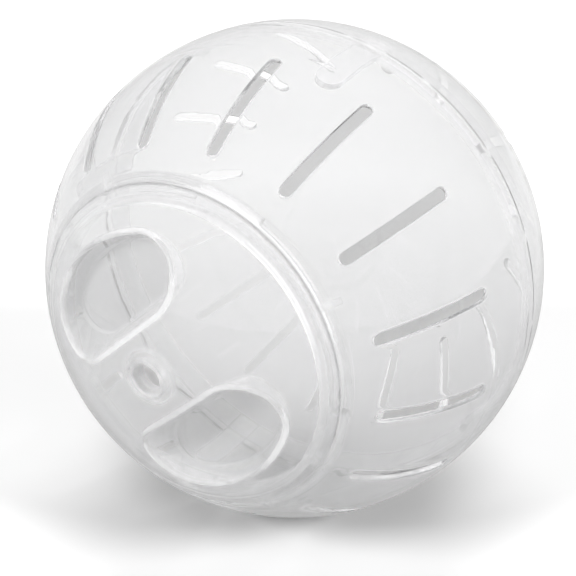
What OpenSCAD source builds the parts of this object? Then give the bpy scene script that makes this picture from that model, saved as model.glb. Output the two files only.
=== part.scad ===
// Clear exercise ball for a hamster: two vented half shells that plug together at the
// seam, a round twist-and-lift lid with two finger wells, and an axle collar in its middle.
// The ball's centre is the origin. The lid faces -Y and the ball rolls on its lowest point.

/* [Ball] */
// Outside diameter of the ball
ball_d = 180; // [150:1:210]
// Wall thickness of the shells and the lid
wall = 1.8; // [1.4:0.1:2.4]
// Clearance between pieces that come apart
fit_gap = 0.3; // [0.2:0.05:0.4]

/* [Vent slots] */
// Number of slots round each half
slot_count = 16; // [12:1:18]
// Width of a slot
slot_w = 3.8; // [3:0.1:4.6]
// Angle from the hub axis to the end of a slot nearer the hub
slot_from = 45.5; // [44:0.5:50]
// Angle from the hub axis to the end of a slot nearer the seam
slot_to = 71.4; // [66:0.2:73]
// Turn of the ring of slots about the hub axis
slot_turn = 15.5; // [0:0.5:22.5]

/* [Seam] */
// Length of the lip that plugs into the plain half
lip_len = 9.6; // [7:0.1:12]
// Thickness of the lip and of the tongues
lip_t = 1.6; // [1.2:0.1:2]
// Height of the band that joins the lip to the inside of its wall
lip_root = 4; // [3:0.5:6]
// Number of tongues that line up the two halves
tongue_count = 4; // [2:1:4]
// Width of a tongue
tongue_w = 9; // [6:0.5:12]
// Reach of a tongue past the seam
tongue_len = 29; // [20:0.5:32]
// Turn of the first tongue about the hub axis
tongue_turn = 71.75; // [60:0.25:80]

/* [Lid] */
// Outside diameter of the lid
lid_d = 109.4; // [104:0.2:112]
// Width of the ledge that the lid drops onto
ledge_w = 3.5; // [3:0.1:4]
// Thickness of the ledge
ledge_t = 1.6; // [1.2:0.1:2]
// Thickness of a lug under the ledge
lug_t = 1.9; // [1.5:0.1:2.4]
// Arc that one lug takes up
lug_arc = 22; // [18:1:26]
// Turn of the lid from open to locked
lock_turn = 30; // [28:1:34]
// Width of the rib that stops a lug, as an arc
stop_arc = 2; // [1.5:0.5:3]

/* [Finger wells] */
// Distance from the hub axis to the straight side of a well at the lid's surface
well_chord = 14; // [12:0.5:16]
// Distance from the hub axis to the round side of a well at the lid's surface
well_arc_r = 42.5; // [40:0.1:44]
// Half of a well's width, along its straight side
well_half_w = 27.6; // [25:0.1:29]
// Radius of a well's corners at the lid's surface
well_corner_r = 14; // [12:0.5:16]
// Depth of the wells below the middle of the lid
well_depth = 16.5; // [14:0.5:18]
// Draft that opens the straight side and the corners, in degrees
well_draft = 11; // [6:1:12]
// Rise of the round side from the floor, in degrees
well_ramp = 60; // [50:1:70]
// Turn of the wells about the hub axis
well_turn = 131.7; // [120:0.1:140]

/* [Axle collar] */
// Bore of the collar
collar_bore = 10; // [8:0.5:11]
// Wall of the collar's tube
collar_wall = 0.9; // [0.7:0.1:1.4]
// Length of the collar
collar_len = 5.6; // [5:0.1:7]
// Width of the flange round the collar's mouth
flange_w = 0.8; // [0.6:0.1:1.2]
// Thickness of the flange
flange_t = 1; // [0.8:0.1:1.2]
// Clearance between the collar and the lid that turns on it
turn_gap = 0.05; // [0.03:0.01:0.08]

/* [Hidden] */
$fn = 180;

// Overrun of every cut past the face that it opens
overrun = 3;
clear_plastic = [0.9, 0.92, 0.94, 0.45];
lid_plastic = [0.84, 0.88, 0.92, 0.55];
collar_plastic = [0.8, 0.85, 0.9, 0.7];

ball_r = ball_d / 2;
inner_r = ball_r - wall;
mid_wall_r = ball_r - wall / 2;

// Radii of the lip and tongues, which ride just inside the other half's wall
plug_out_r = inner_r - fit_gap;
plug_in_r = plug_out_r - lip_t;

// The lid's opening, its ledge, and the skirt and lugs that lock under it
lid_r = lid_d / 2;
opening_r = lid_r + fit_gap;
ledge_in_r = opening_r - ledge_w;
ledge_top = height_on(inner_r, lid_r) - fit_gap;
ledge_low = ledge_top - ledge_t;
lug_out_r = opening_r - 2 * fit_gap;
lug_top = ledge_low - fit_gap;
lug_low = lug_top - lug_t;
skirt_out_r = ledge_in_r - fit_gap;
skirt_in_r = skirt_out_r - wall;
lug_count = tongue_count;
// Angle that the clearance takes up at the lug's rim
gap_arc = atan(2 * fit_gap / lug_out_r);

// The wells: where the corners are centred, and the floor
well_floor = ball_r - well_depth;
well_rim = height_on(ball_r, well_arc_r);
corner_x = well_chord + well_corner_r;
corner_y = well_half_w - well_corner_r;

// The collar and its seat in the lid
collar_in_r = collar_bore / 2;
collar_out_r = collar_in_r + collar_wall;
flange_r = collar_out_r + flange_w;
collar_low = ball_r - collar_len;
bead_r = collar_out_r + turn_gap + flange_w / 3;
bead_t = flange_t / 2;
boss_low = collar_low + bead_t + 2 * turn_gap;
boss_r = flange_r + wall;

// Height of a sphere's surface above a point at distance r from its axis
function height_on(sphere_r, r) = sqrt(pow(sphere_r, 2) - pow(r, 2));

// Turns the hub axis, drawn upward, to face -Y
module to_front() {
    rotate([90, 0, 0]) children();
}

// Repeats its children evenly about the hub axis
module ring_of(count, first = 0) {
    for (i = [0 : count - 1]) rotate([0, 0, first + i * 360 / count]) children();
}

// Slice of a hollow sphere between two heights
module shell_band(r_out, r_in, low, high) {
    intersection() {
        difference() {
            sphere(r_out);
            sphere(r_in);
        }
        translate([0, 0, low]) cylinder(r = r_out + overrun, h = high - low);
    }
}

// Ring or part of a ring about the hub axis, centred on the x axis
module arc_block(r_in, r_out, low, high, arc) {
    rotate([0, 0, -arc / 2]) rotate_extrude(angle = arc)
        translate([r_in, low]) square([r_out - r_in, high - low]);
}

module ring_block(r_in, r_out, low, high) {
    difference() {
        translate([0, 0, low]) cylinder(r = r_out, h = high - low);
        translate([0, 0, low - overrun]) cylinder(r = r_in, h = high - low + 2 * overrun);
    }
}

// Cutter for one slot with round ends, along the meridian over the x axis
module slot_cutter() {
    slot_len = 2 * ball_r * sin((slot_to - slot_from) / 2);
    rotate([0, (slot_from + slot_to) / 2, 0])
        translate([0, 0, inner_r * cos((slot_to - slot_from) / 2) - overrun])
            linear_extrude(height = wall + slot_len / 2) {
                square([slot_len - slot_w, slot_w], center = true);
                for (side = [-1, 1]) translate([side * (slot_len - slot_w) / 2, 0])
                    circle(d = slot_w);
            }
}

// Half of the ball's wall with its ring of slots, seam at height zero
module vented_half() {
    difference() {
        shell_band(ball_r, inner_r, 0, ball_r + overrun);
        ring_of(slot_count, slot_turn) slot_cutter();
    }
}

// Space round a tongue, and with gap zero its outline, seen square to the wall
module tongue_outline(gap, low) {
    half_w = tongue_w / 2 + gap;
    rotate([90, 0, 90]) linear_extrude(height = ball_r) {
        translate([-half_w, low]) square([2 * half_w, tongue_len - half_w - low]);
        translate([0, tongue_len - half_w]) circle(r = half_w);
    }
}

// Lip that plugs into the plain half, cut away where the tongues pass
module seam_lip() {
    difference() {
        union() {
            shell_band(plug_out_r, plug_in_r, -lip_len, lip_root / 2);
            shell_band(mid_wall_r, plug_in_r, 0, lip_root);
        }
        ring_of(tongue_count, tongue_turn) tongue_outline(fit_gap, -lip_len - overrun);
    }
}

// Ledge round the lid's opening, with a notch for each lug to drop through
module lid_ledge() {
    intersection() {
        difference() {
            ring_block(ledge_in_r, ball_r, ledge_low, ledge_top);
            ring_of(lug_count, tongue_turn)
                arc_block(ledge_in_r - overrun, lug_out_r + fit_gap, ledge_low - overrun,
                          ledge_top + overrun, lug_arc + 2 * gap_arc);
        }
        sphere(mid_wall_r);
    }
}

// Ribs under the ledge that the lugs meet when the lid is locked
module lock_stops() {
    intersection() {
        ring_of(lug_count, tongue_turn - lug_arc / 2 - lock_turn - gap_arc - stop_arc / 2)
            arc_block(ledge_in_r + fit_gap, ball_r, lug_low, ledge_low + ledge_t / 2, stop_arc);
        sphere(mid_wall_r);
    }
}

module lid_side_shell() {
    color(clear_plastic) to_front() {
        difference() {
            vented_half();
            cylinder(r = opening_r, h = ball_r + overrun);
        }
        seam_lip();
        lid_ledge();
        lock_stops();
    }
}

module plain_side_shell() {
    color(clear_plastic) to_front() {
        mirror([0, 0, 1]) difference() {
            vented_half();
            translate([0, 0, -overrun]) cylinder(r = ball_r + overrun, h = overrun + fit_gap);
        }
        ring_of(tongue_count, tongue_turn) {
            intersection() {
                tongue_outline(0, -lip_len / 2);
                difference() {
                    sphere(plug_out_r);
                    sphere(plug_in_r);
                }
            }
            intersection() {
                tongue_outline(0, -lip_len);
                shell_band(mid_wall_r, plug_in_r, -lip_len, -fit_gap);
            }
        }
    }
}

// One finger well about the x axis: the hollow itself, or with skin its outside
module well_form(skin) {
    low = well_floor - skin;
    rise = ball_r + overrun - low;
    draw_in = tan(well_draft);
    floor_r = well_corner_r - (ball_r - low) * draw_in + skin;
    top_r = floor_r + rise * draw_in;
    rim_run = (well_rim - low) / tan(well_ramp);
    intersection() {
        union() {
            for (side = [-1, 1]) translate([corner_x, side * corner_y, low])
                cylinder(r1 = floor_r, r2 = top_r, h = rise);
            rotate([90, 0, 0]) linear_extrude(height = 2 * corner_y, center = true)
                polygon([[corner_x - floor_r, low], [corner_x, low],
                         [corner_x, low + rise], [corner_x - top_r, low + rise]]);
            translate([0, 0, low]) linear_extrude(height = rise)
                polygon([[corner_x, -corner_y], [2 * corner_x, -2 * corner_y],
                         [2 * corner_x, 2 * corner_y], [corner_x, corner_y]]);
        }
        translate([0, 0, low])
            cylinder(r1 = well_arc_r - rim_run + skin,
                     r2 = well_arc_r - rim_run + skin + rise / tan(well_ramp), h = rise);
    }
}

// Skirt below the lid with the lugs that lock it under the ledge
module lid_skirt() {
    intersection() {
        union() {
            ring_block(skirt_in_r, skirt_out_r, lug_low, ball_r);
            ring_of(lug_count, tongue_turn)
                arc_block(skirt_in_r + wall / 2, lug_out_r, lug_low, lug_top, lug_arc);
        }
        sphere(mid_wall_r);
    }
}

module twist_lid() {
    color(lid_plastic) to_front() difference() {
        union() {
            intersection() {
                shell_band(ball_r, inner_r, 0, ball_r + overrun);
                cylinder(r = lid_r, h = ball_r + overrun);
            }
            lid_skirt();
            ring_of(2, well_turn) intersection() {
                well_form(wall);
                sphere(mid_wall_r);
            }
            intersection() {
                translate([0, 0, boss_low]) cylinder(r = boss_r, h = collar_len);
                sphere(mid_wall_r);
            }
        }
        ring_of(2, well_turn) well_form(0);
        cylinder(r = collar_out_r + turn_gap, h = ball_r + overrun);
        translate([0, 0, ball_r - flange_t - 2 * turn_gap])
            cylinder(r = flange_r + turn_gap, h = overrun);
    }
}

module axle_collar() {
    color(collar_plastic) to_front() difference() {
        union() {
            translate([0, 0, collar_low]) cylinder(r = collar_out_r, h = collar_len);
            translate([0, 0, ball_r - flange_t]) cylinder(r = flange_r, h = flange_t);
            translate([0, 0, collar_low]) cylinder(r = bead_r, h = bead_t);
        }
        translate([0, 0, collar_low - overrun])
            cylinder(r = collar_in_r, h = collar_len + 2 * overrun);
    }
}

plain_side_shell();
lid_side_shell();
twist_lid();
axle_collar();
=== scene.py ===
"""Clear hamster ball: two vented halves, a twist-off lid with finger wells and an axle collar.

Shapes are drawn in millimetres in the hub's frame, with the hub axis along +Z and the lid's middle
at its top. to_front turns that frame so that the lid faces -Y, in metres.
"""
import math

import bmesh
import bpy
from mathutils import Matrix, Vector, noise
from mathutils.geometry import delaunay_2d_cdt


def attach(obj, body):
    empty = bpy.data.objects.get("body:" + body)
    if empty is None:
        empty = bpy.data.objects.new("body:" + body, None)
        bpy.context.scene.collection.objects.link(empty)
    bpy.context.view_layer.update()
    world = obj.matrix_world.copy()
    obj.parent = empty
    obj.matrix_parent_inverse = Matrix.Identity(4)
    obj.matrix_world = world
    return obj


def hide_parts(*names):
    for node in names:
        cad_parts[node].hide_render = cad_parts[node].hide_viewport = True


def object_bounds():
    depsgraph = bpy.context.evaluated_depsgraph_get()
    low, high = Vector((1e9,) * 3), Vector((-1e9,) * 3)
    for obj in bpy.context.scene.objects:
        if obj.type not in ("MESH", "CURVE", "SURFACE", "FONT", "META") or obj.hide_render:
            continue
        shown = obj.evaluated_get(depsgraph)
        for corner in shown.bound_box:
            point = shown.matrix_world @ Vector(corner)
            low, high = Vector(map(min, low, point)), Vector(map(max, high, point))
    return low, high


MM = 0.001

# Ball
BALL_R = 90.0
WALL = 1.8
INNER_R = BALL_R - WALL
FIT_GAP = 0.3
EDGE_R = 0.5
HALF_EDGE_R = EDGE_R / 2

# Vent slots
SLOT_COUNT = 16
SLOT_W = 3.8
SLOT_FROM = math.radians(45.5)
SLOT_TO = math.radians(71.4)
SLOT_TURN = math.radians(15.5)
SLOT_MIDDLE = (SLOT_FROM + SLOT_TO) / 2
SLOT_REACH = BALL_R * math.sin((SLOT_TO - SLOT_FROM) / 2) - SLOT_W / 2
BAND_MARGIN = math.radians(3)
BAND_FROM = SLOT_FROM - BAND_MARGIN
BAND_TO = SLOT_TO + BAND_MARGIN

# Seam: the lip of the lid's half and the tongues of the plain one, which are sunk a little into that
# half's wall where they lie against it
LIP_WALL = 1.6
PLUG_OUT_R = INNER_R - FIT_GAP
PLUG_IN_R = PLUG_OUT_R - LIP_WALL
LIP_LEN = 9.6
LIP_ROOT = 4.0
TONGUE_COUNT = 4
TONGUE_W = 9.0
TONGUE_LEN = 29.0
TONGUE_TURN = math.radians(71.75)
TONGUE_FREE_FROM = -2 * FIT_GAP
TONGUE_SINK = HALF_EDGE_R / 10

# Lid, its opening and what locks it
LID_R = 54.7
OPENING_R = LID_R + FIT_GAP
LEDGE_W = 3.5
LEDGE_T = 1.6
LEDGE_IN_R = OPENING_R - LEDGE_W
LEDGE_TOP = math.sqrt(INNER_R**2 - LID_R**2) - FIT_GAP
LEDGE_LOW = LEDGE_TOP - LEDGE_T
LUG_T = 1.9
LUG_OUT_R = OPENING_R - 2 * FIT_GAP
LUG_TOP = LEDGE_LOW - FIT_GAP
LUG_LOW = LUG_TOP - LUG_T
LUG_ARC = math.radians(22)
LOCK_TURN = math.radians(30)
STOP_ARC = math.radians(2)
STOP_SINK = 0.05
SKIRT_OUT_R = LEDGE_IN_R - FIT_GAP
SKIRT_IN_R = SKIRT_OUT_R - WALL
GAP_ARC = math.atan(2 * FIT_GAP / LUG_OUT_R)

# Finger wells. WELL_RIM and WELL_BASE hold the distances from the hub axis to the straight and the round
# side and the half width, at the lid's skin and on the floor, where draft and ramp have drawn them in
WELL_TURN = math.radians(131.7)
WELL_DEPTH = 16.5
WELL_FLOOR = BALL_R - WELL_DEPTH
WELL_DRAFT = math.radians(11)
WELL_RAMP = math.radians(60)
WELL_RIM = (14.0, 42.5, 27.6)
WELL_DRAW_IN = WELL_DEPTH * math.tan(WELL_DRAFT)
WELL_RAMP_RUN = (math.sqrt(BALL_R**2 - WELL_RIM[1] ** 2) - WELL_FLOOR) / math.tan(WELL_RAMP)
WELL_BASE = (WELL_RIM[0] + WELL_DRAW_IN, WELL_RIM[1] - WELL_RAMP_RUN, WELL_RIM[2] - WELL_DRAW_IN)
WELL_RIM_R = 1.3
WELL_FLOOR_R = 1.4
PLATE_R = 47.5

# Axle collar and its seat
TURN_GAP = 0.05
COLLAR_IN_R = 5.0
COLLAR_OUT_R = 5.9
COLLAR_LEN = 5.6
COLLAR_LOW = BALL_R - COLLAR_LEN
FLANGE_W = 0.8
FLANGE_R = COLLAR_OUT_R + FLANGE_W
FLANGE_T = 1.0
BEAD_R = COLLAR_OUT_R + TURN_GAP + FLANGE_W / 3
BEAD_T = FLANGE_T / 2
BOSS_R = FLANGE_R + WALL
BOSS_LOW = COLLAR_LOW + BEAD_T + 2 * TURN_GAP
SEAT_Z = BALL_R - FLANGE_T - 2 * TURN_GAP
UNEVEN = 0.4
UNEVEN_WAVES = 4.0

# Plastic: its tint, its lowest and highest roughness, and how far its skin swims in and out, in metres
SHELL_LOOK = ((0.97, 0.97, 0.975), (0.01, 0.03), 0.00002)
COLLAR_LOOK = ((0.96, 0.96, 0.965), (0.02, 0.06), 0.00004)
IOR = 1.52
# Noises that bend the skin and that set its roughness, and the levels of the second that are told apart
SWELL_NOISE = {"Scale": 38.0, "Detail": 1.0}
GRAIN_NOISE = {"Scale": 160.0, "Detail": 4.0}
GRAIN_RANGE = (0.3, 0.7)
# The share of light that scatters where it enters the plastic, and the share that each face lets through
# from the lamps
HAZE = 0.25
LAMP_SHARE = 0.45

# View: azimuth and elevation in degrees, distance in radii of the ball, sensor and lens in millimetres
VIEW = (29.56, 25.2)
VIEW_AWAY = 3.85
SENSOR_W = 36.0
LENS = 58.0
LENS_SHIFT = (-0.01155, -0.0343)
CLIP_NEAR = 0.01

# Studio: its light on the dim and the bright side of the ball, the way to the bright side in degrees,
# where between the two it changes, and how much of it the floor gets
SKY = (0.6, 1.13)
SKY_SIDE = (VIEW[0], -35)
SKY_FADE = (-0.75, -0.15)
SKY_ON_FLOOR = 0.03
# Ray depths between which the studio and the floor rise to white
RIM_DEPTHS = (6.0, 12.0)
# Floor: the greys of painted light that it glows with where it shows through the ball, darker as a
# painted shadow near the ball's foot, at distances from that foot in radii, the paper's own grey and
# half the floor's width in metres
FLOOR_PAINTED_SHADE = ((0.0, 0.05), (0.3, 0.36), (0.6, 0.47), (2.0, 0.52), (4.0, 0.73), (8.0, 0.79))
FLOOR_PAPER = 0.95
FLOOR_HALF = 3.0
# A ray's diffuse depth is under this before it is scattered, and over it afterwards
SCATTERED = 0.5
# The most bounces that a ray may take
MOST_BOUNCES = 40

# Lamps: turn from the camera's side, elevation and spread in degrees, and the share of white they give.
# Fills have no turn, and all have the same spread
LIGHTS = (
    ("left_key", -60, 35, 16, 0.70),
    ("right_key", 63, 33, 16, 0.79),
    ("front_light", -5, 57, 18, 0.17),
    ("back_light", 176, 50, 42, 0.55),
)
FILLS = (("upper_fill", 90, 0.45), ("lower_fill", -90, 0.17))
FILL_SPREAD = 180

# Fineness of the meshes
SECTOR_STEPS = 12
BAND_STEPS = 14
EDGE_STEPS = 3
TONGUE_STEPS = 12
HUB_STEPS = 64
COLLAR_STEPS = 144
ARC_STEP = math.radians(2.5)
# Half the turn that a notch's end takes, and the turn either side of it without other columns
NOTCH_STEP = math.radians(0.04)
NOTCH_CLEAR = NOTCH_STEP * 8
GRID = 2.6
GRID_CLEAR = GRID * 0.62
SHARP = math.radians(42)

# The share of a side that a rounded corner may take, what counts as no length, angle or area, and how
# near to each other points are joined and edges dissolved
CORNER_SHARE = 0.9
NO_LENGTH = 1e-6
NO_ANGLE = 0.01
NO_AREA = 1e-4
SAME_SPOT = 1e-7
MERGE_WITHIN = 1e-4
DISSOLVE_WITHIN = 1e-5


def height_on(radius, out):
    """Height of a sphere's skin at a distance from the hub axis."""
    return math.sqrt(radius**2 - out**2)


def about(out, turn, height):
    """The point at a distance from the hub axis, a turn about it and a height along it."""
    return Vector((out * math.cos(turn), out * math.sin(turn), height))


def on_sphere(radius, polar, turn):
    """The point of a sphere at an angle from the hub axis and a turn about it."""
    return about(radius * math.sin(polar), turn, radius * math.cos(polar))


def turned(points, turn):
    """Points turned about the hub axis."""
    spin = Matrix.Rotation(turn, 3, "Z")
    return [spin @ Vector(p) for p in points]


def corner(before, here, after, radius, steps):
    """An arc of steps + 1 points that rounds the corner at here."""
    one, two = before - here, after - here
    if min(one.length, two.length) < NO_LENGTH:
        return [here] * (steps + 1)
    half = one.angle(two) / 2
    reach = min(radius / math.tan(half), one.length * CORNER_SHARE, two.length * CORNER_SHARE)
    start = here + one.normalized() * reach
    end = here + two.normalized() * reach
    if math.pi / 2 - half < NO_ANGLE:
        return [start.lerp(end, k / steps) for k in range(steps + 1)]
    bulge = (one.normalized() + two.normalized()).normalized()
    centre = here + bulge * (reach / math.cos(half))
    arm, far_arm = start - centre, end - centre
    sweep = arm.angle(far_arm)
    points = []
    for k in range(steps + 1):
        part = k / steps
        mix = (math.sin((1 - part) * sweep) * arm + math.sin(part * sweep) * far_arm) / math.sin(sweep)
        points.append(centre + mix)
    return points


def rounded(points, radii, steps=EDGE_STEPS):
    """A line through points with its inner corners rounded; a radius of zero keeps the corner."""
    line = [points[0]]
    for before, here, after, radius in zip(points, points[1:], points[2:], radii):
        line += corner(before, here, after, radius, steps) if radius else [here]
    return line + [points[-1]]


def sphere_line(radius, start, end):
    """A meridian of a sphere as (distance, height) points between two angles from the hub axis."""
    count = max(2, round(abs(end - start) / ARC_STEP))
    angles = [start + (end - start) * k / count for k in range(count + 1)]
    return [Vector((radius * math.sin(a), radius * math.cos(a))) for a in angles]


def inside(outline, spot):
    """True if a flat spot lies inside a closed outline."""
    within = False
    for one, two in zip(outline, outline[1:] + outline[:1]):
        if (one.y > spot.y) != (two.y > spot.y):
            if spot.x < one.x + (two.x - one.x) * (spot.y - one.y) / (two.y - one.y):
                within = not within
    return within


def grid_between(low, high, edge):
    """Flat points on a grid between two corners that stay clear of every point of an edge."""
    spots = []
    across = round((high.x - low.x) / GRID)
    along = round((high.y - low.y) / GRID)
    for i in range(1, across):
        for j in range(1, along):
            spot = Vector((low.x + (high.x - low.x) * i / across, low.y + (high.y - low.y) * j / along))
            if min((spot - p).length_squared for p in edge) > GRID_CLEAR**2:
                spots.append(spot)
    return spots


class Shape:
    """Points in the hub's frame and the faces between them."""

    def __init__(self):
        self.points = []
        self.faces = []

    def add(self, points):
        """Takes in points and gives their numbers."""
        first = len(self.points)
        self.points += [Vector(p) for p in points]
        return list(range(first, len(self.points)))

    def rings(self, rows):
        """Four-sided faces between closed rows of as many points. Gives the end rows' numbers."""
        rows = [self.add(row) for row in rows]
        for one, two in zip(rows, rows[1:]):
            for k in range(len(one)):
                self.faces.append((one[k - 1], one[k], two[k], two[k - 1]))
        return rows[0], rows[-1]

    def revolve(self, line_at, turns):
        """Rings about the hub axis through the line that line_at gives for each turn."""
        columns = [[about(p.x, turn, p.y) for p in line_at(turn)] for turn in turns]
        return self.rings(zip(*columns))

    def zip_rings(self, one, two):
        """Triangles between two rings about the hub axis, whatever their numbers of points."""
        def around(ring):
            turns = sorted((math.atan2(self.points[n].y, self.points[n].x), n) for n in ring)
            return turns + [(turns[0][0] + math.tau, turns[0][1])]

        a, b = around(one), around(two)
        i = j = 0
        while i < len(a) - 1 or j < len(b) - 1:
            if j == len(b) - 1 or (i < len(a) - 1 and a[i + 1][0] <= b[j + 1][0]):
                self.faces.append((a[i][1], a[i + 1][1], b[j][1]))
                i += 1
            else:
                self.faces.append((a[i][1], b[j + 1][1], b[j][1]))
                j += 1

    def fan(self, ring, tip):
        """Triangles from a ring to one point."""
        (middle,) = self.add([tip])
        for k in range(len(ring)):
            self.faces.append((ring[k - 1], ring[k], middle))

    def fill(self, loops, flat, lift, holes):
        """Triangles inside the first closed loop of numbers and outside holes. flat gives a point's
        place on the plane that the triangles are made on, and lift the way back."""
        spots, edges, numbers = [], [], []
        for loop in loops:
            first = len(spots)
            spots += [flat(self.points[n]) for n in loop]
            edges += [(first + k, first + (k + 1) % len(loop)) for k in range(len(loop))]
            numbers += loop
        low = Vector((min(p.x for p in spots), min(p.y for p in spots)))
        high = Vector((max(p.x for p in spots), max(p.y for p in spots)))
        border = spots[: len(loops[0])]
        voids = [[spots[numbers.index(n)] for n in loop] for loop in holes]
        spare = [
            p for p in grid_between(low, high, spots)
            if inside(border, p) and not any(inside(v, p) for v in voids)
        ]
        numbers += self.add([lift(p) for p in spare])
        places, _, triangles, sources, _, _ = delaunay_2d_cdt(spots + spare, edges, [], 0, SAME_SPOT)
        for triangle in triangles:
            one, two, three = (places[k] for k in triangle)
            middle = (one + two + three) / 3
            flat_area = (two - one).cross(three - one) / 2
            outside = not inside(border, middle) or any(inside(v, middle) for v in voids)
            if abs(flat_area) > NO_AREA and not outside:
                self.faces.append(tuple(numbers[sources[k][0]] for k in triangle))


def even_turns(count, first=0.0):
    """Turns spaced evenly about the hub axis."""
    return [first + math.tau * k / count for k in range(count)]


def turns_with_steps(middles, half):
    """Even turns with a close pair at each end of the arcs of half width half about middles."""
    ends = [(m + side * half) for m in middles for side in (-1, 1)]
    pairs = [(e + shift) % math.tau for e in ends for shift in (-NOTCH_STEP, NOTCH_STEP)]
    turns = [t % math.tau for t in band_turns()]
    clear = [t for t in turns if all(abs(math.remainder(t - p, math.tau)) > NOTCH_CLEAR for p in pairs)]
    return sorted(clear + pairs)


def in_arcs(turn, middles, half):
    """True if a turn lies in one of the arcs of half width half about middles."""
    return any(abs(math.remainder(turn - m, math.tau)) < half for m in middles)


def band_turns():
    """The turns of the columns that the slotted band's edges have."""
    return even_turns(SLOT_COUNT * SECTOR_STEPS, SLOT_TURN - math.pi / SLOT_COUNT)


def slot_outline(spread):
    """Flat outline of a slot grown by spread, lengthwise along the first axis."""
    radius = SLOT_W / 2 + spread
    end_steps, side_steps = 8, 15
    outline = []
    for end in (1, -1):
        for k in range(end_steps + 1):
            turn = math.pi * (k / end_steps - 0.5)
            outline.append((end * (SLOT_REACH + radius * math.cos(turn)), end * radius * math.sin(turn)))
        for k in range(1, side_steps):
            outline.append((end * SLOT_REACH * (1 - 2 * k / side_steps), end * radius))
    return outline


def slot_row(radius, spread, lift):
    """A slot's outline laid on a sphere over the x axis and lifted along the slot's own axis."""
    out = Vector((math.sin(SLOT_MIDDLE), 0, math.cos(SLOT_MIDDLE)))
    along = Vector((math.cos(SLOT_MIDDLE), 0, -math.sin(SLOT_MIDDLE)))
    across = Vector((0, 1, 0))
    row = []
    for u, v in slot_outline(spread):
        row.append(u * along + v * across + (math.sqrt(radius**2 - u * u - v * v) + lift) * out)
    return row


def slot_rows():
    """A slot's rounded edges and its wall, from the outer skin to the inner one."""
    turns = [math.pi / 2 * k / EDGE_STEPS for k in range(EDGE_STEPS + 1)]
    rows = [slot_row(BALL_R, EDGE_R * (1 - math.sin(t)), -EDGE_R * (1 - math.cos(t))) for t in turns]
    turns.reverse()
    rows += [slot_row(INNER_R, EDGE_R * (1 - math.sin(t)), EDGE_R * (1 - math.cos(t))) for t in turns]
    return rows


def vented_band(shape):
    """Both skins of the band that holds the slots. Gives the numbers of its edge rings near the hub
    and near the seam, as (outer, inner) pairs."""
    turns = band_turns()
    levels = [BAND_FROM + (BAND_TO - BAND_FROM) * k / BAND_STEPS for k in range(BAND_STEPS + 1)]
    near, far, sides = [], [], []
    for radius in (BALL_R, INNER_R):
        near.append(shape.add([on_sphere(radius, BAND_FROM, t) for t in turns]))
        far.append(shape.add([on_sphere(radius, BAND_TO, t) for t in turns]))
        sides.append([
            shape.add([on_sphere(radius, level, turns[k * SECTOR_STEPS]) for level in levels[1:-1]])
            for k in range(SLOT_COUNT)
        ])
    for k in range(SLOT_COUNT):
        middle = SLOT_TURN + math.tau * k / SLOT_COUNT
        edges = shape.rings([turned(row, middle) for row in slot_rows()])
        columns = [(k * SECTOR_STEPS + i) % len(turns) for i in range(SECTOR_STEPS + 1)]
        following = (k + 1) % SLOT_COUNT

        def flat(point):
            turn = math.remainder(math.atan2(point.y, point.x) - middle, math.tau)
            polar = math.atan2(math.hypot(point.x, point.y), point.z)
            return Vector((turn * math.sin(SLOT_MIDDLE), polar)) * BALL_R

        for skin, radius in enumerate((BALL_R, INNER_R)):
            border = [near[skin][c] for c in columns] + sides[skin][following]
            border += [far[skin][c] for c in reversed(columns)] + sides[skin][k][::-1]

            def lift(spot):
                turn = spot.x / BALL_R / math.sin(SLOT_MIDDLE) + middle
                return on_sphere(radius, spot.y / BALL_R, turn)

            shape.fill([border, edges[skin]], flat, lift, [edges[skin]])
    return near, far


def seam_line(height):
    """Meridian round a plain seam edge at a height, from the outer skin to the inner one."""
    start = BAND_TO + ARC_STEP / 3
    outer = sphere_line(BALL_R, start, math.pi / 2 - ARC_STEP)
    inner = sphere_line(INNER_R, math.pi / 2 - ARC_STEP, start)
    edge = [outer[-1], Vector((BALL_R, height)), Vector((INNER_R, height)), inner[0]]
    return outer[:-1] + rounded(edge, (HALF_EDGE_R, HALF_EDGE_R)) + inner[1:]


def lip_line(gap):
    """Meridian round the seam edge of the lid's half with its lip, or in a gap without it."""
    start = BAND_TO + ARC_STEP / 3
    outer = sphere_line(BALL_R, start, math.pi / 2 - ARC_STEP)
    root = math.acos(LIP_ROOT / INNER_R)
    inner = sphere_line(INNER_R, root, start)
    foot_out = Vector((height_on(PLUG_OUT_R, LIP_LEN), -LIP_LEN))
    foot_in = Vector((height_on(PLUG_IN_R, LIP_LEN), -LIP_LEN))
    down = sphere_line(PLUG_OUT_R, math.pi / 2, math.acos(-LIP_LEN / PLUG_OUT_R) - ARC_STEP / 2)
    up_from = math.acos(-LIP_LEN / PLUG_IN_R) - ARC_STEP / 2
    up = sphere_line(PLUG_IN_R, up_from, math.acos(LIP_ROOT / PLUG_IN_R))
    edge = rounded([outer[-1], Vector((BALL_R, 0)), down[0]], (HALF_EDGE_R,))[:-1]
    lip = down[:-1] + rounded([down[-1], foot_out, foot_in, up[0]], (EDGE_R, EDGE_R)) + up[1:]
    if gap:
        flat_root = Vector((INNER_R, 0))
        lip = [flat_root.lerp(inner[0], k / (len(lip) - 1)) for k in range(len(lip))]
    return outer[:-1] + edge + lip + inner


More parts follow.
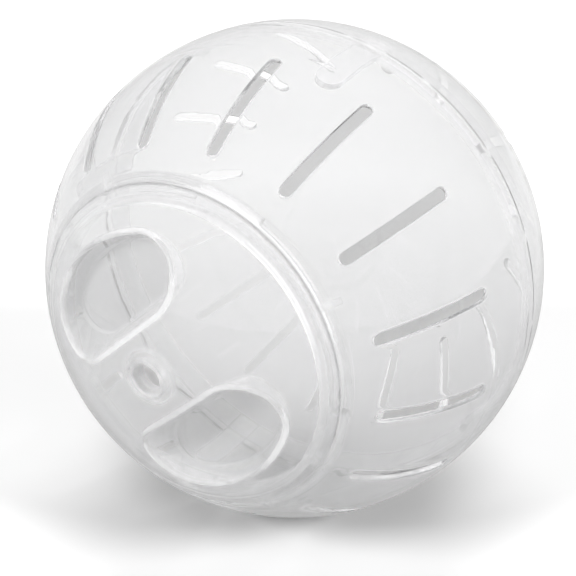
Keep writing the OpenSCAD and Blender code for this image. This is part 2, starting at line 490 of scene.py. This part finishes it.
def opening_line(ledge_in):
    """Meridian round the lid's opening, over the ledge that reaches in to ledge_in."""
    start = BAND_FROM - ARC_STEP / 3
    outer = sphere_line(BALL_R, start, math.asin(OPENING_R / BALL_R) + ARC_STEP / 3)
    root = math.acos(LEDGE_LOW / INNER_R)
    inner = sphere_line(INNER_R, root, start)
    edge = [
        outer[-1],
        Vector((OPENING_R, height_on(BALL_R, OPENING_R))),
        Vector((OPENING_R, LEDGE_TOP)),
        Vector((ledge_in, LEDGE_TOP)),
        Vector((ledge_in, LEDGE_LOW)),
        inner[0],
    ]
    return outer[:-1] + rounded(edge, (EDGE_R, 0, HALF_EDGE_R, HALF_EDGE_R)) + inner[1:]


def lid_half_shape():
    """The half with the lid's opening, its notched ledge, and the lip that plugs into the other."""
    shape = Shape()
    near, far = vented_band(shape)
    middles = even_turns(TONGUE_COUNT, TONGUE_TURN)
    notch = LUG_ARC / 2 + GAP_ARC
    gap = math.asin((TONGUE_W / 2 + FIT_GAP) / PLUG_IN_R)
    ledge = shape.revolve(
        lambda turn: opening_line(LUG_OUT_R + FIT_GAP if in_arcs(turn, middles, notch) else LEDGE_IN_R),
        turns_with_steps(middles, notch),
    )
    seam = shape.revolve(
        lambda turn: lip_line(in_arcs(turn, middles, gap)),
        turns_with_steps(middles, gap),
    )
    for skin in (0, 1):
        shape.zip_rings(near[skin], ledge[skin])
        shape.zip_rings(far[skin], seam[skin])
    return shape


def plain_half_shape():
    """The half that is closed at its pole."""
    shape = Shape()
    near, far = vented_band(shape)
    seam = shape.revolve(lambda turn: seam_line(FIT_GAP), band_turns())
    for skin, radius in enumerate((BALL_R, INNER_R)):
        shape.zip_rings(far[skin], seam[skin])
        cap = sphere_line(radius, BAND_FROM - ARC_STEP, ARC_STEP)
        rim, last = shape.revolve(lambda turn: cap, band_turns())
        shape.zip_rings(near[skin], rim)
        shape.fan(last, (0, 0, radius))
    for point in shape.points:
        point.z = -point.z
    return shape


def tongue_outline(inset):
    """Flat outline of a tongue drawn in by inset, as (across, height) points."""
    half, low = TONGUE_W / 2 - inset, -LIP_LEN + inset
    top = TONGUE_LEN - TONGUE_W / 2
    steps, foot_steps = TONGUE_STEPS, TONGUE_STEPS // 2
    outline = [(half, low + (top - low) * k / steps) for k in range(steps)]
    for k in range(steps + 1):
        turn = math.pi * k / steps
        outline.append((half * math.cos(turn), top + half * math.sin(turn)))
    outline += [(-half, top + (low - top) * k / steps) for k in range(1, steps + 1)]
    outline += [(half * (2 * k / foot_steps - 1), low) for k in range(1, foot_steps)]
    return outline


def tongue_point(radius, across, height):
    """A point of a tongue at a radius, over the x axis."""
    return Vector((math.sqrt(radius**2 - across**2 - height**2), across, height))


def tongue_shape(turn):
    """A tongue of the plain half, which runs up the inside of the other half's wall."""
    shape = Shape()
    edge = HALF_EDGE_R
    steps = [math.pi / 2 * k / EDGE_STEPS for k in range(EDGE_STEPS + 1)]

    def outer_r(height):
        return INNER_R + TONGUE_SINK if height < TONGUE_FREE_FROM else PLUG_OUT_R

    rows = []
    for t in steps:
        outline = tongue_outline(edge * (1 - math.sin(t)))
        rows.append([tongue_point(outer_r(h) - edge * (1 - math.cos(t)), a, h) for a, h in outline])
    for t in reversed(steps):
        outline = tongue_outline(edge * (1 - math.sin(t)))
        rows.append([tongue_point(PLUG_IN_R + edge * (1 - math.cos(t)), a, h) for a, h in outline])
    faces = shape.rings(rows)
    for ring, radius_at in zip(faces, (outer_r, lambda height: PLUG_IN_R)):
        shape.fill(
            [ring],
            lambda p: Vector((p.y, p.z)),
            lambda s, r=radius_at: tongue_point(r(s.y), s.x, s.y),
            [],
        )
    shape.points = turned(shape.points, turn)
    return shape


def stop_shape(turn):
    """A rib under the ledge, where a lug meets it when the lid is locked."""
    shape = Shape()
    low, high = LUG_LOW, LEDGE_LOW + STOP_SINK
    line = [
        Vector((LEDGE_IN_R + FIT_GAP, low)),
        Vector((height_on(INNER_R, low), low)),
        Vector((height_on(INNER_R, high), high)),
        Vector((LEDGE_IN_R + FIT_GAP, high)),
    ]
    turns = [turn + STOP_ARC * part for part in (-0.5, -0.25, 0, 0.25, 0.5)]
    first, last = shape.rings([[about(p.x, t, p.y) for p in line] for t in turns])
    shape.faces += [tuple(first), tuple(reversed(last))]
    return shape


def well_outline(sizes):
    """Flat outline of a well about the x axis and the outward direction at each of its points."""
    chord, arc_r, half_w = sizes
    reach = chord + arc_r - half_w
    corner_r = math.sqrt(reach**2 + arc_r**2 - chord**2 - half_w**2) - reach
    across = half_w - corner_r
    lean = math.atan2(across, chord + corner_r)
    side_steps, corner_steps, arc_steps = 14, 14, 22
    points, ways = [], []

    def put(centre, radius, angle):
        way = Vector((math.cos(angle), math.sin(angle)))
        points.append(Vector(centre) + way * radius)
        ways.append(way)

    for k in range(side_steps):
        points.append(Vector((chord, across * (2 * k / side_steps - 1))))
        ways.append(Vector((-1, 0)))
    for k in range(corner_steps):
        put((chord + corner_r, across), corner_r, math.pi + (lean - math.pi) * k / corner_steps)
    for k in range(arc_steps):
        put((0, 0), arc_r, lean * (1 - 2 * k / arc_steps))
    for k in range(corner_steps):
        put((chord + corner_r, -across), corner_r, -lean + (lean - math.pi) * k / corner_steps)
    return points, ways


def well_rows():
    """A well's rim, wall and floor edge on the outer skin, and the same on the inner skin."""
    rims, ways = well_outline(WELL_RIM)
    bases, _ = well_outline(WELL_BASE)
    outer, inner = [], []
    for rim, base, way in zip(rims, bases, ways):
        top = Vector((rim.x, rim.y, height_on(BALL_R, rim.length)))
        foot = Vector((base.x, base.y, WELL_FLOOR))
        away = Vector((way.x, way.y, 0))
        rise = (top - foot).normalized()
        out = (away - away.dot(rise) * rise).normalized()
        low = foot + WALL * out
        low += rise * ((WELL_FLOOR - WALL - low.z) / rise.z)
        along = low.dot(rise)
        high = low + rise * (-along + math.sqrt(along**2 - low.length_squared + INNER_R**2))
        outer.append(well_line(top, foot, away, WELL_RIM_R, WELL_FLOOR_R))
        inner.append(well_line(high, low, away, EDGE_R, WELL_FLOOR_R + WALL))
    return list(zip(*outer)), list(zip(*inner))


def well_line(top, foot, away, rim_r, floor_r):
    """The rounded section of a well's wall from the skin at top down to the floor at foot."""
    normal = top.normalized()
    skin = (away - away.dot(normal) * normal).normalized()
    flank, rim_steps, floor_steps = 6, 6, 5
    line = corner(top + skin * flank, top, foot, rim_r, rim_steps)
    line += corner(top, foot, foot - away * flank, floor_r, floor_steps)
    line[0] = line[0].normalized() * top.length
    return line


def hub_line():
    """Meridian of the collar's seat in the lid, from the outer skin to the inner one."""
    seat, bore = FLANGE_R + TURN_GAP, COLLAR_OUT_R + TURN_GAP
    start, end = seat + 2 * EDGE_R, BOSS_R + 2 * EDGE_R
    line = [
        Vector((start, height_on(BALL_R, start))),
        Vector((seat, height_on(BALL_R, seat))),
        Vector((seat, SEAT_Z)),
        Vector((bore, SEAT_Z)),
        Vector((bore, BOSS_LOW)),
        Vector((BOSS_R, BOSS_LOW)),
        Vector((BOSS_R, height_on(INNER_R, BOSS_R))),
        Vector((end, height_on(INNER_R, end))),
    ]
    return rounded(line, (HALF_EDGE_R, 0, 0, HALF_EDGE_R, EDGE_R, EDGE_R))


def lid_edge_line(lug_out):
    """Meridian of the lid's edge, skirt and lugs, from the outer skin to the inner one."""
    start = math.asin(PLATE_R / BALL_R)
    outer = sphere_line(BALL_R, start, math.asin(LID_R / BALL_R) - ARC_STEP / 3)
    inner = sphere_line(INNER_R, math.asin(SKIRT_IN_R / INNER_R), math.asin(PLATE_R / INNER_R))
    edge = [
        outer[-1],
        Vector((LID_R, height_on(BALL_R, LID_R))),
        Vector((LID_R, height_on(INNER_R, LID_R))),
        Vector((SKIRT_OUT_R, height_on(INNER_R, SKIRT_OUT_R))),
        Vector((SKIRT_OUT_R, LUG_TOP)),
        Vector((lug_out, LUG_TOP)),
        Vector((lug_out, LUG_LOW)),
        Vector((SKIRT_IN_R, LUG_LOW)),
        inner[0],
    ]
    radii = (EDGE_R, HALF_EDGE_R, EDGE_R, 0, HALF_EDGE_R, HALF_EDGE_R, EDGE_R)
    return outer[:-1] + rounded(edge, radii) + inner[1:]


def lid_shape():
    """The lid: a dished plate with two finger wells, the collar's seat, a skirt and its lugs."""
    shape = Shape()
    middles = even_turns(TONGUE_COUNT, TONGUE_TURN)
    edge = shape.revolve(
        lambda turn: lid_edge_line(LUG_OUT_R if in_arcs(turn, middles, LUG_ARC / 2) else SKIRT_OUT_R),
        turns_with_steps(middles, LUG_ARC / 2),
    )
    hub = shape.revolve(lambda turn: hub_line(), even_turns(HUB_STEPS))
    loops = [[edge[0], hub[0]], [edge[1], hub[1]]]
    for turn in (WELL_TURN, WELL_TURN + math.pi):
        for skin, rows in enumerate(well_rows()):
            rim, floor = shape.rings([turned(row, turn) for row in rows])
            loops[skin].append(rim)
            middle = sum((shape.points[n] for n in floor), Vector((0, 0, 0))) / len(floor)
            shape.fan(floor, middle)
    for skin, radius in enumerate((BALL_R, INNER_R)):
        shape.fill(
            loops[skin],
            lambda p: Vector((p.x, p.y)),
            lambda s, r=radius: Vector((s.x, s.y, height_on(r, s.length))),
            loops[skin][1:],
        )
    return shape


def collar_shape():
    """The axle collar, with the uneven rim that its moulding leaves."""
    shape = Shape()
    low = COLLAR_LOW

    def section(turn):
        dip, nick = (
            UNEVEN * (0.5 + noise.noise(about(UNEVEN_WAVES, turn, level))) for level in (0, UNEVEN_WAVES)
        )
        top, rim = BALL_R - max(0, dip), FLANGE_R - max(0, nick)
        line = [
            Vector((COLLAR_IN_R, low)),
            Vector((COLLAR_IN_R, top)),
            Vector((rim, top)),
            Vector((rim, BALL_R - FLANGE_T)),
            Vector((COLLAR_OUT_R, BALL_R - FLANGE_T)),
            Vector((COLLAR_OUT_R, low + BEAD_T)),
            Vector((BEAD_R, low + BEAD_T)),
            Vector((BEAD_R, low)),
            Vector((COLLAR_IN_R, low)),
        ]
        return rounded(line, (HALF_EDGE_R, HALF_EDGE_R, HALF_EDGE_R, 0, 0, HALF_EDGE_R, HALF_EDGE_R))

    shape.revolve(section, even_turns(COLLAR_STEPS))
    return shape


def to_front():
    """The hub's frame in millimetres to the row's frame in metres."""
    return Matrix.Scale(MM, 4) @ Matrix.Rotation(math.pi / 2, 4, "X")


def make_piece(name, shape, body, material):
    """A mesh object of a shape, closed, smooth but for its sharp edges, that rides on a body."""
    mesh = bpy.data.meshes.new(name)
    mesh.from_pydata(shape.points, [], shape.faces)
    bm = bmesh.new()
    bm.from_mesh(mesh)
    bmesh.ops.remove_doubles(bm, verts=bm.verts, dist=MERGE_WITHIN)
    bmesh.ops.dissolve_degenerate(bm, edges=bm.edges, dist=DISSOLVE_WITHIN)
    bmesh.ops.recalc_face_normals(bm, faces=bm.faces)
    for face in bm.faces:
        face.smooth = True
    for edge in bm.edges:
        if not edge.is_manifold or edge.calc_face_angle(0) > SHARP:
            edge.smooth = False
    bm.transform(to_front())
    bm.to_mesh(mesh)
    bm.free()
    mesh.materials.append(material)
    piece = bpy.data.objects.new(name, mesh)
    bpy.context.collection.objects.link(piece)
    even = piece.modifiers.new("even_normals", "WEIGHTED_NORMAL")
    even.keep_sharp = True
    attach(piece, body)
    return piece


class Nodes:
    """A node tree that is built link by link."""

    def __init__(self, tree):
        self.tree = tree
        tree.nodes.clear()

    def add(self, kind, values=(), **settings):
        """A node of a kind with its settings and its inputs' values or links set."""
        node = self.tree.nodes.new(kind)
        for key, value in settings.items():
            setattr(node, key, value)
        for key, value in dict(values).items():
            if isinstance(value, bpy.types.NodeSocket):
                self.tree.links.new(value, node.inputs[key])
            else:
                node.inputs[key].default_value = value
        return node

    def spread(self, value, before, after, **settings):
        """A value moved from one range to another, each given by its two ends."""
        ends = {"From Min": before[0], "From Max": before[1], "To Min": after[0], "To Max": after[1]}
        return self.add("ShaderNodeMapRange", {"Value": value, **ends}, **settings).outputs["Result"]

    def mix(self, share, one, two):
        """A mix of two shader nodes, with share of the second."""
        return self.add("ShaderNodeMixShader", {0: share, 1: one.outputs[0], 2: two.outputs[0]})


def grey(level):
    """A grey as a colour with alpha."""
    return (level, level, level, 1.0)


def new_material(name):
    """A material and its empty node tree."""
    material = bpy.data.materials.new(name)
    material.use_nodes = True
    return material, Nodes(material.node_tree)


def clear_plastic(name, tint, rough, wave):
    """Clear polystyrene, with haze only where light enters it, so that thick rims stay clear."""
    material, nodes = new_material(name)
    place = nodes.add("ShaderNodeTexCoord").outputs["Object"]
    swell = nodes.add("ShaderNodeTexNoise", {"Vector": place, **SWELL_NOISE})
    grain = nodes.add("ShaderNodeTexNoise", {"Vector": place, **GRAIN_NOISE})
    bump = nodes.add(
        "ShaderNodeBump", {"Height": swell.outputs["Fac"], "Distance": wave, "Strength": 1.0}
    )
    skin = {
        "Roughness": nodes.spread(grain.outputs["Fac"], GRAIN_RANGE, rough),
        "IOR": IOR,
        "Normal": bump.outputs["Normal"],
    }
    outside = nodes.add(
        "ShaderNodeBsdfPrincipled",
        {"Base Color": (*tint, 1.0), "Transmission Weight": 1.0 - HAZE, **skin},
    )
    within = nodes.add("ShaderNodeBsdfGlass", {"Color": grey(1.0), **skin})
    for_lamps = nodes.add("ShaderNodeBsdfTransparent", {"Color": grey(LAMP_SHARE)})
    side = nodes.add("ShaderNodeNewGeometry")
    path = nodes.add("ShaderNodeLightPath")
    plastic = nodes.mix(side.outputs["Backfacing"], outside, within)
    surface = nodes.mix(path.outputs["Is Shadow Ray"], plastic, for_lamps)
    nodes.add("ShaderNodeOutputMaterial", {"Surface": surface.outputs[0]})
    return material


def paler_when_deep(nodes, path, level):
    """A level of light that rises to white for rays that the plastic has turned often, as in a rim."""
    return nodes.spread(path.outputs["Ray Depth"], RIM_DEPTHS, (level, 1.0))


def pale_floor():
    """Floor paper that is white to the camera. Where it shows through the ball it glows instead, as
    painted light that is greyer towards the ball, a painted shadow darkest at its foot.
    """
    material, nodes = new_material("pale_floor")
    place = nodes.add("ShaderNodeTexCoord").outputs["Object"]
    away = nodes.add("ShaderNodeVectorMath", {0: place}, operation="LENGTH")
    furthest = FLOOR_PAINTED_SHADE[-1][0]
    part = nodes.spread(away.outputs["Value"], (0.0, furthest * BALL_R * MM), (0.0, 1.0))
    # Painted shadow of the ball: greys that darken towards its foot
    painted_shade = nodes.add("ShaderNodeValToRGB", {"Fac": part})
    stops = painted_shade.color_ramp.elements
    for reach, _ in FLOOR_PAINTED_SHADE[1:-1]:
        stops.new(reach / furthest)
    for stop, (_, level) in zip(stops, FLOOR_PAINTED_SHADE):
        stop.color = grey(level)
    paper = nodes.add("ShaderNodeBsdfDiffuse", {"Color": grey(FLOOR_PAPER)})
    path = nodes.add("ShaderNodeLightPath")
    direct = nodes.add(
        "ShaderNodeMath", {0: path.outputs["Diffuse Depth"], 1: SCATTERED}, operation="LESS_THAN"
    )
    level = paler_when_deep(nodes, path, painted_shade.outputs["Color"])
    lit = nodes.add("ShaderNodeMath", {0: level, 1: direct.outputs["Value"]}, operation="MULTIPLY")
    # To rays other than the camera's the floor glows with this painted light and painted shadow, and is
    # not lit by the lamps
    glow = nodes.add("ShaderNodeEmission", {"Strength": lit.outputs["Value"]})
    surface = nodes.mix(path.outputs["Is Camera Ray"], glow, paper)
    nodes.add("ShaderNodeOutputMaterial", {"Surface": surface.outputs[0]})
    return material


def make_world():
    """A studio that is white to the camera, brighter on one side where it shows through the ball, and
    dim to the floor, whose shadow the lamps make."""
    world = bpy.data.worlds.new("studio")
    bpy.context.scene.world = world
    world.use_nodes = True
    world.cycles.sampling_method = "NONE"
    nodes = Nodes(world.node_tree)
    place = nodes.add("ShaderNodeTexCoord").outputs["Generated"]
    near = nodes.add("ShaderNodeVectorMath", {0: place, 1: facing(*SKY_SIDE)}, operation="DOT_PRODUCT")
    strength = nodes.spread(near.outputs["Value"], SKY_FADE, SKY, interpolation_type="SMOOTHSTEP")
    path = nodes.add("ShaderNodeLightPath")
    level = paler_when_deep(nodes, path, strength)
    shade = nodes.add("ShaderNodeBackground", {"Color": grey(1.0), "Strength": level})
    dim = nodes.add("ShaderNodeBackground", {"Color": grey(1.0), "Strength": SKY_ON_FLOOR})
    white = nodes.add("ShaderNodeBackground", {"Color": grey(1.0), "Strength": 1.0})
    scattered = nodes.add(
        "ShaderNodeMath", {0: path.outputs["Diffuse Depth"], 1: SCATTERED}, operation="GREATER_THAN"
    )
    lit = nodes.mix(scattered.outputs["Value"], shade, dim)
    seen = nodes.mix(path.outputs["Is Camera Ray"], lit, white)
    nodes.add("ShaderNodeOutputWorld", {"Surface": seen.outputs[0]})


def facing(azimuth, elevation):
    """The direction from the ball to a place seen from it at an azimuth and elevation in degrees."""
    a, e = math.radians(azimuth), math.radians(elevation)
    return Vector((math.sin(a) * math.cos(e), -math.cos(a) * math.cos(e), math.sin(e)))


def broad_light(name, turn, elevation, spread, share):
    """A broad even light that shows in no reflection. turn is from the camera's side, and share is
    how much of white it gives to a white surface that lies across its way."""
    light = bpy.data.lights.new(name, "SUN")
    light.angle = math.radians(spread)
    light.energy = share * math.pi
    light.cycles.use_multiple_importance_sampling = False
    lamp = bpy.data.objects.new(name, light)
    bpy.context.collection.objects.link(lamp)
    lamp.rotation_mode = "QUATERNION"
    lamp.rotation_quaternion = facing(VIEW[0] + turn, elevation).to_track_quat("Z", "Y")
    lamp.visible_glossy = False
    lamp.visible_transmission = False
    return lamp


def fill_light(name, elevation, share, pieces):
    """Even light from half of the studio on the haze of the pieces alone."""
    lamp = broad_light(name, 0, elevation, FILL_SPREAD, share)
    lamp.data.use_shadow = False
    lamp.light_linking.receiver_collection = pieces


def make_floor(height):
    """The floor that the ball stands on."""
    mesh = bpy.data.meshes.new("floor")
    half = FLOOR_HALF
    corners = [(-half, -half, 0), (half, -half, 0), (half, half, 0), (-half, half, 0)]
    mesh.from_pydata(corners, [], [(0, 1, 2, 3)])
    mesh.materials.append(pale_floor())
    floor = bpy.data.objects.new("floor", mesh)
    floor.location.z = height
    bpy.context.collection.objects.link(floor)


def make_camera():
    """The camera at the photograph's viewing angle, shifted as its framing needs."""
    lens = bpy.data.cameras.new("camera")
    lens.sensor_width = SENSOR_W
    lens.lens = LENS
    lens.shift_x, lens.shift_y = LENS_SHIFT
    lens.clip_start = CLIP_NEAR
    camera = bpy.data.objects.new("camera", lens)
    bpy.context.collection.objects.link(camera)
    way = facing(*VIEW)
    camera.location = way * VIEW_AWAY * BALL_R * MM
    camera.rotation_mode = "QUATERNION"
    camera.rotation_quaternion = way.to_track_quat("Z", "Y")
    bpy.context.scene.camera = camera


def make_halves(plastic):
    """Both halves, with the tongues of the plain one and the stops of the lid's one."""
    plain = make_piece("plain_half", plain_half_shape(), "plain_half", plastic)
    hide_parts("plain_side_shell")
    made = [plain]
    for k, turn in enumerate(even_turns(TONGUE_COUNT, TONGUE_TURN)):
        tongue = make_piece(f"tongue_{k + 1}", tongue_shape(turn), "plain_half", plastic)
        stop_turn = turn - LUG_ARC / 2 - LOCK_TURN - GAP_ARC - STOP_ARC / 2
        stop = make_piece(f"lock_stop_{k + 1}", stop_shape(stop_turn), "lid_half", plastic)
        made += [tongue, stop]
    half = make_piece("lid_half", lid_half_shape(), "lid_half", plastic)
    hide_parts("lid_side_shell")
    return made + [half]


def make_lid(plastic):
    """The lid, as a list of one piece."""
    cover = make_piece("twist_lid_plate", lid_shape(), "lid", plastic)
    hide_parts("twist_lid")
    return [cover]


def make_collar(plastic):
    """The axle collar, as a list of one piece."""
    collar = make_piece("collar_ring", collar_shape(), "collar", plastic)
    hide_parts("axle_collar")
    return [collar]


def let_light_through():
    """Plain colours, and light that goes on through many faces of the plastic but scatters only once."""
    bpy.context.scene.view_settings.view_transform = "Standard"
    cycles = bpy.context.scene.cycles
    cycles.max_bounces = MOST_BOUNCES
    cycles.diffuse_bounces = 0
    cycles.glossy_bounces = MOST_BOUNCES
    cycles.transmission_bounces = MOST_BOUNCES
    cycles.transparent_max_bounces = MOST_BOUNCES


def add_fills(made):
    """The fills, which light the made pieces alone."""
    pieces = bpy.data.collections.new("pieces")
    for piece in made:
        pieces.objects.link(piece)
    for name, elevation, share in FILLS:
        fill_light(name, elevation, share, pieces)


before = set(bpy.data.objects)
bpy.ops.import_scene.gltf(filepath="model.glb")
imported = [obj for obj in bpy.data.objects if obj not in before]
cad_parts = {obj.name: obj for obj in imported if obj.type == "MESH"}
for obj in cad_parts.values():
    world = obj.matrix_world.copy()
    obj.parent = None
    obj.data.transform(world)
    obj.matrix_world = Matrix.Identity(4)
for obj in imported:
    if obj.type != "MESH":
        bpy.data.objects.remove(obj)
cad_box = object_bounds()
make_camera()
make_world()
make_floor(cad_box[0].z)
for light in LIGHTS:
    broad_light(*light)
shell_plastic = clear_plastic("clear_shell", *SHELL_LOOK)
lid_plastic = clear_plastic("clear_lid", *SHELL_LOOK)
collar_plastic = clear_plastic("clear_collar", *COLLAR_LOOK)
let_light_through()
add_fills(make_halves(shell_plastic) + make_lid(lid_plastic) + make_collar(collar_plastic))
